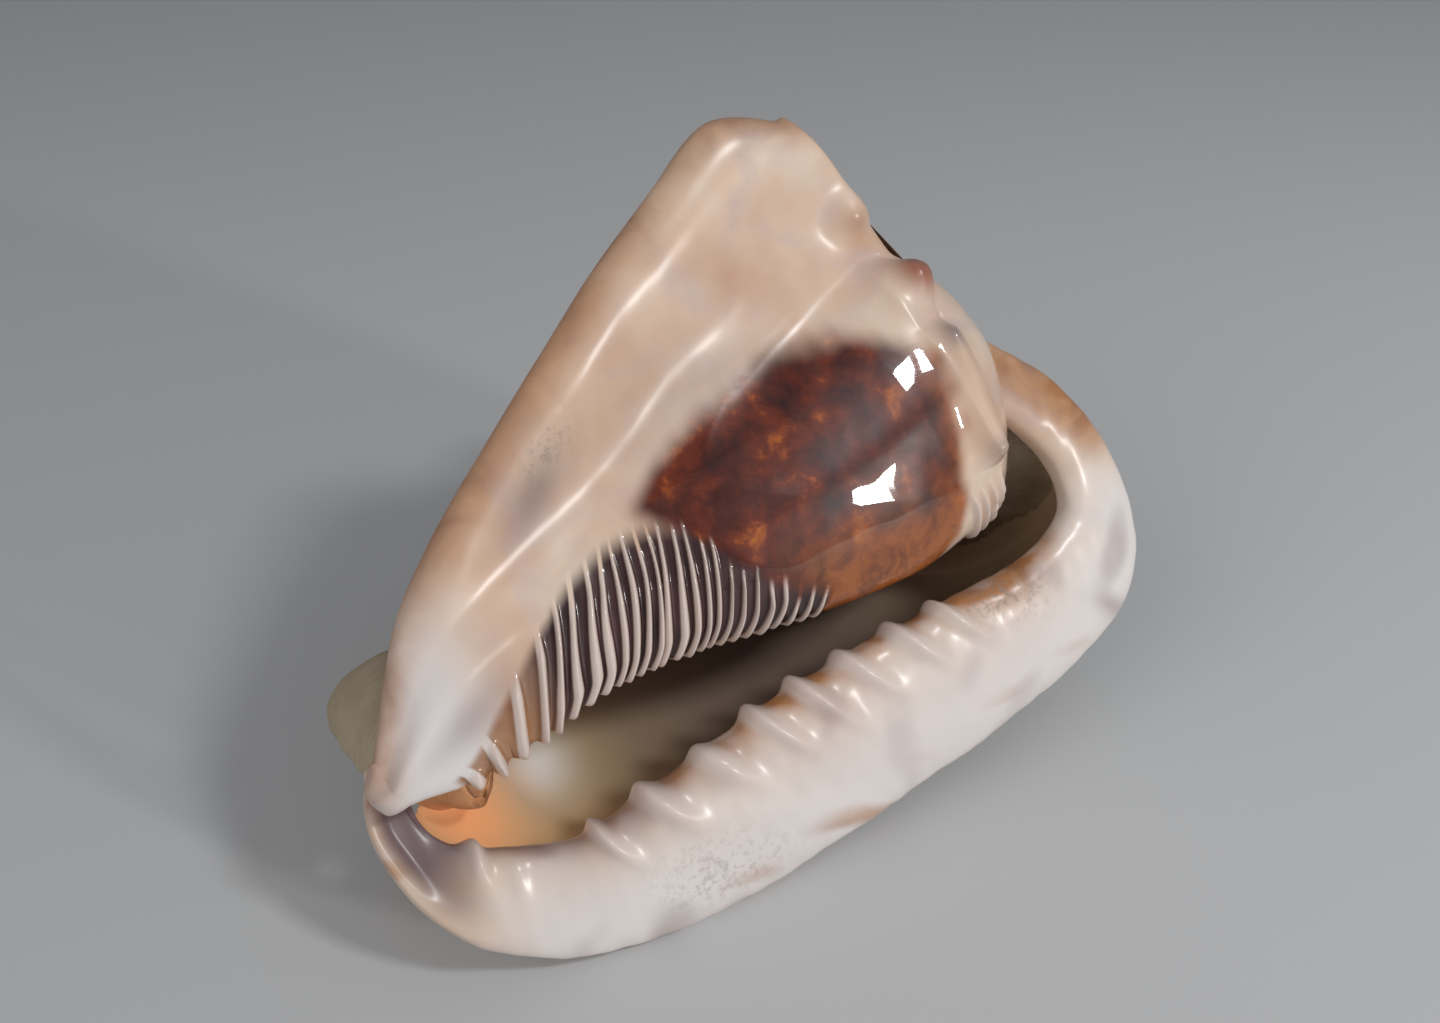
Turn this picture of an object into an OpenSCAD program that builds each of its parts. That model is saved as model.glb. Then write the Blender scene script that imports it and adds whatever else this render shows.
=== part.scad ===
// Large helmet shell lying on its thick outer lip and two knobs of its back.
// The shell frame has X along the coil axis towards the apex, Y towards the free corner of the
// parietal shield and Z out of the aperture. rest() lays that frame down on the floor.

/* [Coil] */
// Growth of the spiral over one full turn
whorl_growth = 1.5; // [1.3:0.05:1.8]
// Place of the apex along the coil axis
apex_at = 185; // [170:1:200]
// Depth of the coil axis behind the frame's own axis
axis_depth = 8; // [0:1:20]
// Coil angle at which the spiral reaches full size
lip_angle = 300; // [280:5:320]
// Thickness of the whorl wall
wall = 4.5; // [3:0.5:7]

/* [Knobs] */
// Height of a shoulder knob above the wall at full size
knob_height = 13; // [6:0.5:18]
// Angle between two knobs of a row
knob_step = 29; // [20:1:40]
// Coil angle of the knob that stands in the middle of the bulge
knob_start = 4.5; // [-20:0.5:20]

/* [Shield] */
// Thickness of the shield plate
shield_plate = 6; // [3:0.5:9]
// Width of the rolled rim
rim_width = 24; // [14:1:32]
// Thickness of the rolled rim
rim_thick = 12; // [8:0.5:16]
// Thickness of the glaze over the body whorl
callus = 4; // [2:0.5:6]

/* [Folds] */
// Number of columellar folds
fold_count = 24; // [12:1:30]
// Height of one fold at the aperture's edge
fold_height = 3; // [1.5:0.5:5]

/* [Lip] */
// Thickness of the outer lip at its middle
lip_thick = 15; // [10:0.5:20]
// Height of a lip tooth
tooth_height = 2.5; // [2:0.5:6]

/* [Rest] */
// Turn about the vertical
rest_turn = 38.5; // [0:0.1:90]
// Tilt of the coil axis out of the level
rest_tilt = 11.71; // [0:0.01:30]
// Roll about the coil axis
rest_roll = 59.09; // [30:0.01:80]
// Height of the shell frame's origin above the floor
rest_height = 48.0; // [30:0.1:60]
// Shift of the shell frame's origin to the right
rest_right = -84.8; // [-150:0.1:50]
// Shift of the shell frame's origin to the back
rest_back = -62.5; // [-150:0.1:50]

/* [Hidden] */

// Whorl outline at full size, from the suture over the shoulder to the front: radius, depth
whorl_outline = [[44, 22], [58, 26], [69, 31], [73, 41], [71, 60], [66, 85], [60, 110],
    [52, 135], [42, 158], [30, 178], [18, 195]];
outline_by_depth = [for (q = whorl_outline) [q.y, q.x]];
whorl_end = 286;
last_turn = whorl_end - 360;

// Free edge of the shield from the front tongue to the back corner
shield_left = [[-12, 4, 20], [8, 28, 23], [25, 40.5, 25], [47, 53, 28], [70, 64.5, 31],
    [91, 75, 33.5], [112, 83.5, 36], [132, 90.5, 38], [149, 83, 38]];
rim_end = [[152, 68, 38]];
// Aperture edge of the columella, from the front to the back
shield_right = [[-9, -6, 18], [7, -11, 20], [22, -11.5, 22], [40, -10.5, 24], [60, -14, 26],
    [80, -20, 29], [104, -28.5, 31.5], [127, -34, 33], [151, -35, 31]];
shield_crest = [21, 25, 27, 29, 32, 37.5, 42.5, 46, 46];
shield_valley = [19, 22, 23, 23.5, 25.5, 28, 31, 32.5, 31];
crest_share = [0.5, 0.5, 0.55, 0.65, 0.76, 0.76, 0.74, 0.72, 0.68];
wall_depth = 22;

// Outer and inner edge of the lip band from the canal round to the shoulder
lip_outer = [[-12, 2, 4], [-20, -12, 12], [-17, -38, 17], [0, -61, 19], [33, -77, 22],
    [78, -84, 27], [114, -86.5, 31], [150, -87, 35], [180, -80, 38], [194, -61, 39],
    [196, -38, 39], [189, -12, 38], [173, 10, 38]];
lip_inner = [[-3, -3, 4], [-6, -12, 10], [-2, -24, 15], [8, -33, 20], [22, -39, 25],
    [60, -39, 31], [95, -41, 35], [130, -46.5, 39], [158, -50, 40], [174, -46, 39],
    [177, -32, 38], [171, -16, 38], [159, -4, 40]];
lip_swell = [6, 8, 10, 12, 14, 15, 15, 15, 14, 12, 11, 10, 8] / 15;
// Middle of the siphonal canal from the aperture to its end, and its radius
canal_path = [[22, -15, 6], [9, -11, -3], [4, -3, -14], [6, 5, -26]];
canal_radius = [11, 13, 15, 17];
// Share of the lip path that each share of the whorl outline grows into
whorl_to_lip = [0.97, 0.85, 0.72, 0.61, 0.54, 0.485, 0.425, 0.375, 0.325, 0.25, 0.1];

function mix(a, b, t) = a + (b - a) * t;
function limit(t) = min(1, max(0, t));
function ease(t) = let (c = limit(t)) c * c * (3 - 2 * c);
function unit(v) = v / max(norm(v), 0.000001);

// Smooth curve through a list, t from 0 to 1
function curve(list, t) =
    let (last = len(list) - 1, x = limit(t) * last, i = min(last - 1, floor(x)), f = x - i,
         a = list[max(0, i - 1)], b = list[i], c = list[i + 1], d = list[min(last, i + 2)])
    b + 0.5 * f * (c - a) + 0.5 * f * f * (2 * a - 5 * b + 4 * c - d)
      + 0.5 * f * f * f * (3 * b - 3 * c + d - a);

function size_at(turn) = pow(whorl_growth, (turn - lip_angle) / 360);

// Lip band: angle 0 is the outer edge, 90 the face and 180 the edge at the aperture
function lip_surface(t, angle, lift = 0) =
    let (out = curve(lip_outer, t), in = curve(lip_inner, t),
         ahead = curve(lip_outer, t + 0.01) + curve(lip_inner, t + 0.01)
             - curve(lip_outer, t - 0.01) - curve(lip_inner, t - 0.01),
         across = unit(out - in), up = unit(cross(across, ahead)),
         half = norm(out - in) / 2 + lift, thick = curve(lip_swell, t) * lip_thick / 2,
         c = cos(angle), d = sin(angle))
    (out + in) / 2 - up * (thick - 3) + across * half * sign(c) * pow(abs(c), 0.8)
        + up * (thick + lift) * sign(d) * pow(abs(d), 0.8);

// Point of a whorl: u runs from the suture to the front, inset goes into the wall
function whorl_flat(turn, u, inset) =
    let (s = size_at(turn), q = curve(whorl_outline, u),
         step = curve(whorl_outline, u + 0.01) - curve(whorl_outline, u - 0.01),
         out = unit([step.y, -step.x]))
    [s * q.x - inset * out.x, apex_at - s * q.y + inset * out.y];
function around(turn, q) = [q.y, q.x * sin(turn), q.x * cos(turn) - axis_depth];
function whorl_point(turn, u, inset = 0) = around(turn, whorl_flat(turn, u, inset));
function whorl_out(turn, u) = unit(whorl_point(turn, u, 0) - whorl_point(turn, u, 1));

// The last turn runs from its start to the underside of the lip, where it flares out; its upper
// edge dips into the turn before it
function flare_point(share, u, inset = 0) =
    let (root = lip_surface(curve(whorl_to_lip, u), 255),
         depth = root.z + axis_depth,
         end_turn = 360 + atan2(root.y, depth),
         turn = mix(last_turn, end_turn, share),
         blend = ease((share - 0.8) / 0.2), dip = 6 * ease(1 - 8 * u),
         q = whorl_flat(turn, u, inset), r = norm([root.y, depth]) - 0.5 * inset)
    around(turn, [mix(q.x, r, blend), mix(q.y - dip, root.x, blend)]);

// Height of the body whorl over a place of the ventral side
function whorl_top(a, b, c = 30, rounds = 4) =
    rounds == 0 ? c :
    let (turn = atan2(b, c + axis_depth), s = size_at(turn),
         r = s * lookup((apex_at - a) / s, outline_by_depth))
    whorl_top(a, b, sqrt(max(1, r * r - b * b)) - axis_depth, rounds - 1);

// Ventral surface: t runs from the front to the back, v from the free edge to the aperture
function ventral_level(t, v) =
    let (left = curve(shield_left, t).z, right = curve(shield_right, t).z,
         crest = curve(shield_crest, t), valley = curve(shield_valley, t),
         top = curve(crest_share, t), dip = 0.52 * top)
    v > top ? right + (crest - right) * sqrt(max(0, 1 - pow(limit((v - top) / (1 - top)), 2)))
    : v > dip ? mix(valley, crest, ease((v - dip) / (top - dip)))
    : mix(left, valley, ease(v / dip));
function ventral_point(t, v, sink = 0) =
    let (p = curve(shield_left, t), q = curve(shield_right, t), w = limit(v),
         place = mix(p, q, w) + [15 * ease(3 * t - 2) * sin(180 * w), 0, 0],
         level = ventral_level(t, w),
         floor_level = whorl_top(place.x, place.y) + 2,
         lifted = v < 0.25 ? level : max(level, floor_level * ease(4 * t - 1)),
         over = limit((v - 1) / 0.3))
    [place.x, place.y + sink * ease(3 * v - 2) + 5 * over, lifted - sink * (1 - 0.5 * ease(3 * v - 2))
        - wall_depth * over];

function ring_grid(rows, cols, shift) =
    [for (i = [0:rows - 2], j = [0:cols - 2])
        let (a = i * cols + j + shift, b = a + 1, c = a + cols, d = c + 1) [a, b, d, c]];
function triangles(quads, flip) =
    [for (q = quads) each flip ? [[q[0], q[2], q[1]], [q[0], q[3], q[2]]]
                               : [[q[0], q[1], q[2]], [q[0], q[2], q[3]]]];

// Closed solid between a front sheet and a back sheet of the same grid
module thick_patch(front, back, flip = false) {
    rows = len(front);
    cols = len(front[0]);
    count = rows * cols;
    edges = concat(
        [for (j = [0:cols - 2]) [j + 1, j, j + count, j + 1 + count]],
        [for (j = [0:cols - 2]) let (k = (rows - 1) * cols + j) [k, k + 1, k + 1 + count, k + count]],
        [for (i = [0:rows - 2]) let (k = i * cols) [k, k + cols, k + cols + count, k + count]],
        [for (i = [0:rows - 2]) let (k = i * cols + cols - 1)
            [k + cols, k, k + count, k + cols + count]]);
    polyhedron(points = concat([for (row = front) each row], [for (row = back) each row]),
        faces = concat(triangles(ring_grid(rows, cols, 0), flip),
            triangles(ring_grid(rows, cols, count), !flip), triangles(edges, flip)));
}

// Closed solid through a list of closed loops
module loft(loops, flip = false) {
    rows = len(loops);
    cols = len(loops[0]);
    middle = [for (row = [loops[0], loops[rows - 1]]) [for (p = row) 1] * row / cols];
    sides = [for (i = [0:rows - 2], j = [0:cols - 1])
        let (k = (j + 1) % cols) [i * cols + j, i * cols + k, (i + 1) * cols + k, (i + 1) * cols + j]];
    first = rows * cols;
    caps = concat([for (j = [0:cols - 1]) [first, (j + 1) % cols, j]],
        [for (j = [0:cols - 1]) let (k = (rows - 1) * cols) [first + 1, k + j, k + (j + 1) % cols]]);
    polyhedron(points = concat([for (row = loops) each row], middle),
        faces = concat(triangles(sides, flip),
            [for (f = caps) flip ? [f[0], f[2], f[1]] : f]));
}

// Rounded ridge along a path: width and height swell in the middle, up is its outward side
module ridge(path, ups, width, height) {
    last = len(path) - 1;
    loops = [for (i = [0:last])
        let (ahead = unit(path[min(last, i + 1)] - path[max(0, i - 1)]), side = unit(cross(ahead, ups[i])),
             full = sqrt(max(0.02, 1 - pow(2 * i / last - 1, 2))))
        [for (k = [0:5]) path[i] + side * width / 2 * full * cos(60 * k)
            + ups[i] * height * full * sin(60 * k)]];
    loft(loops);
}

module rest() {
    translate([rest_right, rest_back, rest_height])
        rotate([0, 0, rest_turn])
            rotate([0, -rest_tilt, 0])
                rotate([rest_roll, 0, 0])
                    children();
}

module above_floor() {
    difference() {
        rest() children();
        translate([-300, -300, -60]) cube([600, 600, 60]);
    }
}

module whorl_wall(from, to, steps, u_from, u_to, u_steps) {
    angles = [for (i = [0:steps]) mix(from, to, i / steps)];
    shares = [for (j = [0:u_steps]) mix(u_from, u_to, j / u_steps)];
    thick_patch([for (turn = angles) [for (u = shares) whorl_point(turn, u)]],
        [for (turn = angles) [for (u = shares) whorl_point(turn, u, wall * sqrt(size_at(turn)))]]);
}

// Round knob that stands on its foot, its axis along the outward direction
module standing_knob(foot, out, base, height) {
    translate(foot)
        rotate([0, acos(out.z), atan2(out.y, out.x)])
            rotate_extrude($fn = 24)
                polygon([[0, 0], [base, 0], [0.93 * base, 0.3 * height], [0.7 * base, 0.62 * height],
                    [0.4 * base, 0.9 * height], [0, height]]);
}

module knob_row(first, last, u, base, height) {
    for (k = [first:last]) {
        turn = knob_start + k * knob_step;
        s = size_at(turn);
        standing_knob(whorl_point(turn, u, wall * 0.4), whorl_out(turn, u), base * s,
            height * s + wall * 0.4);
    }
}

module protoconch() {
    color("#b9a48c") rest() translate([apex_at - 4.5, 0, -axis_depth]) sphere(r = 4.5, $fn = 32);
}

module first_spire_whorl() {
    color("#b39c82") rest() whorl_wall(last_turn - 1080, last_turn - 720, 24, 0, 0.35, 4);
}

module second_spire_whorl() {
    color("#b39c82") rest() whorl_wall(last_turn - 720, last_turn - 360, 24, 0, 0.35, 4);
}

module penultimate_whorl() {
    color("#b39c82") rest() whorl_wall(last_turn - 360, last_turn, 30, 0, 1, 14);
}

module body_whorl() {
    shares = [for (i = [0:44]) i < 30 ? i / 30 * 0.76 : mix(0.76, 1, (i - 30) / 14)];
    us = [for (j = [0:20]) j / 20];
    color("#c8b294") above_floor()
        thick_patch([for (e = shares) [for (u = us) flare_point(e, u)]],
            [for (e = shares) [for (u = us) flare_point(e, u, wall)]]);
}

module outer_lip() {
    color("#ead8c8") above_floor() lip_band();
}

module lip_band() {
    loft([for (i = [0:40]) [for (k = [0:15]) lip_surface(i / 40, 22.5 * k)]]);
}

module columella() {
    steps = 24;
    loops = [for (i = [0:steps])
        let (t = i / steps, a = mix(8, 172, t), r = curve([9, 11, 10, 8, 6.5, 5, 4, 3, 1.5], t))
        [for (k = [0:15]) let (turn = 22.5 * k - 120 * t)
            [a, -4 * (1 - t) + r * sin(turn), r * cos(turn) - axis_depth * ease(3 * t) + 2 * (1 - t)]]];
    color("#d8c4b4") rest() loft(loops);
}

module parietal_shield() {
    color("#e6cdbb") rest() ventral_patch(0, 1, 26, 0.09, 0.56, 10);
}

module parietal_callus() {
    color("#6e3422") rest() ventral_patch(0.56, 1, 14, 0.56, 1.3, 16);
}

module columellar_callus() {
    color("#7a5a55") rest() ventral_patch(0, 0.56, 16, 0.56, 1.3, 16);
}

module ventral_patch(t_from, t_to, t_steps, v_from, v_to, v_steps) {
    ts = [for (i = [0:t_steps]) mix(t_from, t_to, i / t_steps)];
    vs = [for (j = [0:v_steps]) mix(v_from, v_to, j / v_steps)];
    thick_patch([for (t = ts) [for (v = vs) ventral_point(t, v)]],
        [for (t = ts) [for (v = vs) ventral_point(t, v, v < 0.6 ? shield_plate : callus)]], true);
}

module shield_rim() {
    steps = 36;
    path = concat(shield_left, rim_end);
    loops = [for (i = [0:steps])
        let (t = i / steps, edge = curve(path, t),
             ahead = unit(curve(path, t + 0.02) - curve(path, t - 0.02)),
             up = [-0.12, 0, 0.99], inward = unit(cross(up, ahead)) * -1,
             full = mix(0.5, 1, ease(5 * t)) * mix(0.3, 1, ease(5 - 5 * t)),
             half = rim_width / 2 * full, thick = rim_thick / 2 * full)
        [for (k = [0:15]) edge + inward * half * (1 - cos(22.5 * k))
            + up * thick * (sin(22.5 * k) - 0.35)]];
    color("#efd9ca") rest() loft(loops, true);
}

module columellar_folds() {
    color("#f0dcd4") rest()
        for (i = [0:fold_count - 1]) {
            t = mix(0.06, 0.74, i / (fold_count - 1));
            reach = curve([0.8, 0.72, 0.62, 0.56, 0.62, 0.8, 0.9], i / (fold_count - 1));
            vs = [for (k = [0:8]) mix(reach, 1.18, k / 8)];
            path = [for (v = vs) ventral_point(t, v)];
            ridge(path, [for (v = vs) v > 1 ? [0, -0.97, 0.26] : unit([0, -ease(3 * v - 2), 1])],
                2.4, fold_height);
        }
}

module posterior_folds() {
    color("#f4ece6") rest()
        for (i = [0:3]) {
            t = mix(0.9, 0.985, i / 3);
            vs = [for (k = [0:6]) mix(0.86, 1.2, k / 6)];
            ridge([for (v = vs) ventral_point(t, v)],
                [for (v = vs) v > 1 ? [0, -0.97, 0.26] : unit([0, -ease(3 * v - 2), 1])], 3, 2.5);
        }
}

module lip_teeth() {
    color("#f2e6dc") rest()
        for (i = [0:7]) {
            t = mix(0.33, 0.575, i / 7);
            angles = [for (k = [0:6]) mix(205, 100, k / 6)];
            ridge([for (a = angles) lip_surface(t, a)],
                [for (a = angles) unit(lip_surface(t, a, 1) - lip_surface(t, a))], 5, tooth_height);
        }
}

// Three shoulder knobs that the glaze has covered, along the back edge of the bulge
module glazed_knobs() {
    color("#c08a74") rest()
        for (v = [0.27, 0.46, 0.68]) {
            foot = ventral_point(0.98, v);
            out = unit(cross(ventral_point(0.94, v) - foot, ventral_point(0.98, v + 0.02) - foot));
            standing_knob(foot - 3 * out, out, 10, 0.45 * knob_height + 3);
        }
}

// Open tube that turns from the aperture's front end to the back
module siphonal_canal() {
    steps = 12;
    color("#8f8268") rest()
        thick_patch([for (i = [0:steps]) [for (k = [0:16]) canal_point(i / steps, k / 16, 0)]],
            [for (i = [0:steps]) [for (k = [0:16]) canal_point(i / steps, k / 16, wall)]], true);
}

function canal_point(t, share, inset) =
    let (middle = curve(canal_path, t),
         ahead = unit(curve(canal_path, t + 0.05) - curve(canal_path, t - 0.05)),
         front = unit([-1, 0, 0] + ahead * ahead.x), side = cross(ahead, front),
         r = curve(canal_radius, t) - inset, angle = mix(-130, 130, share))
    middle + r * (front * cos(angle) + side * sin(angle));

module siphonal_fasciole() {
    turns = [for (k = [0:18]) 40 + 13 * k];
    color("#9a8a6c") rest() ridge([for (turn = turns) whorl_point(turn, 0.93)],
        [for (turn = turns) whorl_out(turn, 0.93)], 16, 6);
}

module old_varix() {
    turn = knob_start + 4 * knob_step;
    us = [for (k = [0:14]) mix(0.12, 0.9, k / 14)];
    color("#a3927a") rest() ridge([for (u = us) whorl_point(turn, u)],
        [for (u = us) whorl_out(turn, u)], 24, 9);
}

module spire_knobs() {
    color("#a3927a") rest() knob_row(-12, -3, 0.23, 10, 0.6 * knob_height);
}

module shoulder_knobs() {
    color("#a3927a") above_floor() knob_row(3, 8, 0.23, 13, knob_height);
}

module middle_knobs() {
    color("#a3927a") above_floor() knob_row(3, 8, 0.5, 11, 0.35 * knob_height);
}

module lower_knobs() {
    color("#a3927a") above_floor() knob_row(3, 8, 0.64, 10, 0.61 * knob_height);
}

protoconch();
first_spire_whorl();
second_spire_whorl();
penultimate_whorl();
body_whorl();
old_varix();
spire_knobs();
shoulder_knobs();
middle_knobs();
lower_knobs();
columella();
siphonal_canal();
siphonal_fasciole();
parietal_shield();
shield_rim();
glazed_knobs();
parietal_callus();
columellar_callus();
columellar_folds();
posterior_folds();
outer_lip();
lip_teeth();
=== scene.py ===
import bpy
import numpy as np
from mathutils import Matrix, Vector


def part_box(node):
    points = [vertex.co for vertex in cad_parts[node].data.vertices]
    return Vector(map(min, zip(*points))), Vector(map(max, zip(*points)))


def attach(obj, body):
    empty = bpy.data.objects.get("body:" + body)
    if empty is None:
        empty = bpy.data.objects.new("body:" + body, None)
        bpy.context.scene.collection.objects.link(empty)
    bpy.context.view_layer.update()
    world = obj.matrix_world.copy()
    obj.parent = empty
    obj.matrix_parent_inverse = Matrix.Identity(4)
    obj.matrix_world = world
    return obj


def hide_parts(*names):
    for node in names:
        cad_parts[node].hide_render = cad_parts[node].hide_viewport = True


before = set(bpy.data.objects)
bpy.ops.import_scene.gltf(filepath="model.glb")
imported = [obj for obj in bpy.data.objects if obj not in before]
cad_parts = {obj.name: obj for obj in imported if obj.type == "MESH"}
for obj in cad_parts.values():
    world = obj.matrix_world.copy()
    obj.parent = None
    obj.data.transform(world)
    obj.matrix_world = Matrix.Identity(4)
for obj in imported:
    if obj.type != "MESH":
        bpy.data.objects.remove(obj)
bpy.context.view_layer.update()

# --------------------------------------------------
# Lie of the shell. The shell frame has X along the coil axis towards the apex, Y towards the
# free corner of the shield and Z out of the aperture, in millimetres. The shell lies rolled
# over on its lip; its apex tells where the frame sits on the floor.
REST_TURN = 38.5
REST_TILT = 11.71
REST_ROLL = 59.09
APEX_AT = 185.0
AXIS_DEPTH = 8.0
APEX_BALL = (APEX_AT - 4.5, 0.0, -AXIS_DEPTH)


def turn_about(axis, degrees):
    return np.array(Matrix.Rotation(np.radians(degrees), 3, axis))


lie = turn_about("Z", REST_TURN) @ turn_about("Y", -REST_TILT) @ turn_about("X", REST_ROLL)
ball_low, ball_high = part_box("protoconch")
ball_place = 500.0 * (np.array(ball_low) + np.array(ball_high))
shell_origin = ball_place - lie @ np.array(APEX_BALL)


def laid_down(points):
    """Shell points in millimetres, laid on the floor, in metres."""
    placed = points @ lie.T + shell_origin
    placed[..., 2] = np.maximum(placed[..., 2], 0.0)
    return placed / 1000.0


# --------------------------------------------------
# Body whorl: the last and largest turn of the spiral, a wall of dull brown shell about 4.5 mm
# thick, with three rows of blunt knobs, growth lines and the ridge of a former lip. It flares
# out into the underside of the outer lip.
GROWTH = 1.5
LIP_ANGLE = 300.0
LAST_TURN = -74.0
WALL = 4.5
KNOB_STEP = 29.0
KNOB_START = 4.5
KNOB_HEIGHT = 13.0
WHORL_OUTLINE = [[44, 22], [58, 26], [69, 31], [73, 41], [71, 60], [66, 85], [60, 110],
                 [52, 135], [42, 158], [30, 178], [18, 195]]
LIP_OUTER = [[-12, 2, 4], [-20, -12, 12], [-17, -38, 17], [0, -61, 19], [33, -77, 22],
             [78, -84, 27], [114, -86.5, 31], [150, -87, 35], [180, -80, 38], [194, -61, 39],
             [196, -38, 39], [189, -12, 38], [173, 10, 38]]
LIP_INNER = [[-3, -3, 4], [-6, -12, 10], [-2, -24, 15], [8, -33, 20], [22, -39, 25],
             [60, -39, 31], [95, -41, 35], [130, -46.5, 39], [158, -50, 40], [174, -46, 39],
             [177, -32, 38], [171, -16, 38], [159, -4, 40]]
LIP_SWELL = [6, 8, 10, 12, 14, 15, 15, 15, 14, 12, 11, 10, 8]
WHORL_TO_LIP = [0.97, 0.85, 0.72, 0.61, 0.54, 0.485, 0.425, 0.375, 0.325, 0.25, 0.1]
# Middles of the lining's painted glow (emission) by the canal and of its pale bluish pearly spot, which
# glows too.
GLOW_AT = [5, -30, -10]
PEARL_AT = [26, -34, -22]
TURN_UNIT = 57.3


def mix(a, b, t):
    return a + (b - a) * t


def ease(t):
    c = np.clip(t, 0.0, 1.0)
    return c * c * (3.0 - 2.0 * c)


def unit(v):
    return v / np.maximum(np.linalg.norm(v, axis=-1, keepdims=True), 1e-9)


def curve(table, t):
    """Smooth curve through a list of values or points, t from 0 to 1."""
    table = np.asarray(table, float)
    last = len(table) - 1
    x = np.clip(t, 0.0, 1.0) * last
    i = np.minimum(last - 1, np.floor(x)).astype(int)
    f = x - i
    if table.ndim == 2:
        f = f[..., None]
    a, b = table[np.maximum(0, i - 1)], table[i]
    c, d = table[i + 1], table[np.minimum(last, i + 2)]
    return (b + 0.5 * f * (c - a) + 0.5 * f * f * (2 * a - 5 * b + 4 * c - d)
            + 0.5 * f ** 3 * (3 * b - 3 * c + d - a))


def size_at(turn):
    return GROWTH ** ((turn - LIP_ANGLE) / 360.0)


def lip_surface(t, angle):
    """Lip band: angle 0 is the outer edge, 90 the face and 180 the edge at the aperture."""
    out, inner = curve(LIP_OUTER, t), curve(LIP_INNER, t)
    ahead = (curve(LIP_OUTER, t + 0.01) + curve(LIP_INNER, t + 0.01)
             - curve(LIP_OUTER, t - 0.01) - curve(LIP_INNER, t - 0.01))
    across = unit(out - inner)
    up = unit(np.cross(across, ahead))
    half = (np.linalg.norm(out - inner, axis=-1) / 2)[..., None]
    thick = (curve(LIP_SWELL, t) / 2)[..., None]
    c = np.cos(np.radians(angle))[..., None]
    s = np.sin(np.radians(angle))[..., None]
    return ((out + inner) / 2 - up * (thick - 3)
            + across * half * np.sign(c) * np.abs(c) ** 0.8
            + up * thick * np.sign(s) * np.abs(s) ** 0.8)


def around(turn, depth, radius):
    a = np.radians(turn)
    return np.stack([depth, radius * np.sin(a), radius * np.cos(a) - AXIS_DEPTH], -1)


def whorl_flat(turn, u, inset):
    s = size_at(turn)
    q = curve(WHORL_OUTLINE, u)
    step = curve(WHORL_OUTLINE, u + 0.01) - curve(WHORL_OUTLINE, u - 0.01)
    out = unit(np.stack([step[..., 1], -step[..., 0]], -1))
    return s * q[..., 0] - inset * out[..., 0], APEX_AT - s * q[..., 1] + inset * out[..., 1]


def whorl_point(turn, u, inset=0.0):
    radius, depth = whorl_flat(turn, u, inset)
    return around(turn, depth, radius)


def flare_point(share, u, inset=0.0):
    """Last turn: its last fifth eases out into the underside of the lip."""
    root = lip_surface(curve(WHORL_TO_LIP, u), 255.0 + 0 * u)
    rise = root[..., 2] + AXIS_DEPTH
    turn = mix(LAST_TURN, 360.0 + np.degrees(np.arctan2(root[..., 1], rise)), share)
    blend = ease((share - 0.8) / 0.2)
    dip = 6 * ease(1 - 8 * u)
    radius, depth = whorl_flat(turn, u, inset)
    end = np.hypot(root[..., 1], rise) - 0.5 * inset
    return around(turn, mix(depth - dip, root[..., 0], blend), mix(radius, end, blend)), turn


def grid_normals(p, around_cols=False):
    """Unit normals of a grid of points, rows by columns."""
    along = np.gradient(p, axis=0)
    if around_cols:
        across = np.roll(p, -1, 1) - np.roll(p, 1, 1)
    else:
        across = np.gradient(p, axis=1)
    return unit(np.cross(along, across))


def ripple(p, scale, seed):
    """Soft bumps of about one scale in size, between -1 and 1, the same on every run."""
    rng = np.random.default_rng(seed)
    total = np.zeros(p.shape[:-1])
    for _ in range(7):
        wave = unit(rng.normal(size=3)) * 2 * np.pi / (scale * rng.uniform(0.8, 1.6))
        total += np.sin(p @ wave + rng.uniform(0, 2 * np.pi))
    return total / 3.5


def make_piece(name, verts, quads, triangles, normals, values):
    """Closed mesh object from shell points, with smooth normals and per-point values."""
    verts = laid_down(verts)
    normals = normals @ lie.T
    a, b, c, d = (verts[quads[:, k]] for k in range(4))
    volume = np.einsum("ij,ij->i", a, np.cross(b, c) + np.cross(c, d)).sum()
    if len(triangles):
        e, f, g = (verts[triangles[:, k]] for k in range(3))
        volume += np.einsum("ij,ij->i", e, np.cross(f, g)).sum()
    if volume < 0:
        quads = quads[:, ::-1]
        triangles = triangles[:, ::-1] if len(triangles) else triangles
    mesh = bpy.data.meshes.new(name)
    loops = np.concatenate([quads.ravel(), np.asarray(triangles, int).ravel()])
    starts = np.concatenate([np.arange(len(quads)) * 4,
                             len(quads) * 4 + np.arange(len(triangles)) * 3])
    mesh.vertices.add(len(verts))
    mesh.vertices.foreach_set("co", verts.ravel())
    mesh.loops.add(len(loops))
    mesh.loops.foreach_set("vertex_index", loops)
    mesh.polygons.add(len(starts))
    mesh.polygons.foreach_set("loop_start", starts)
    mesh.polygons.foreach_set("use_smooth", np.ones(len(starts), bool))
    mesh.update(calc_edges=True)
    mesh.validate()
    plain = np.zeros(len(verts) * 3, np.float32)
    mesh.vertices.foreach_get("normal", plain)
    agree = np.einsum("ij,ij->i", plain.reshape(-1, 3), normals)
    normals = np.where((agree < 0)[:, None], -normals, normals)
    normals = np.where((np.abs(agree) < 0.3)[:, None], plain.reshape(-1, 3), normals)
    mesh.normals_split_custom_set_from_vertices(normals)
    for key, value in values.items():
        layer = mesh.attributes.new(key, "FLOAT", "POINT")
        layer.data.foreach_set("value", np.asarray(value, np.float32).ravel())
    piece = bpy.data.objects.new(name, mesh)
    bpy.context.scene.collection.objects.link(piece)
    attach(piece, "root")
    return piece


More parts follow.
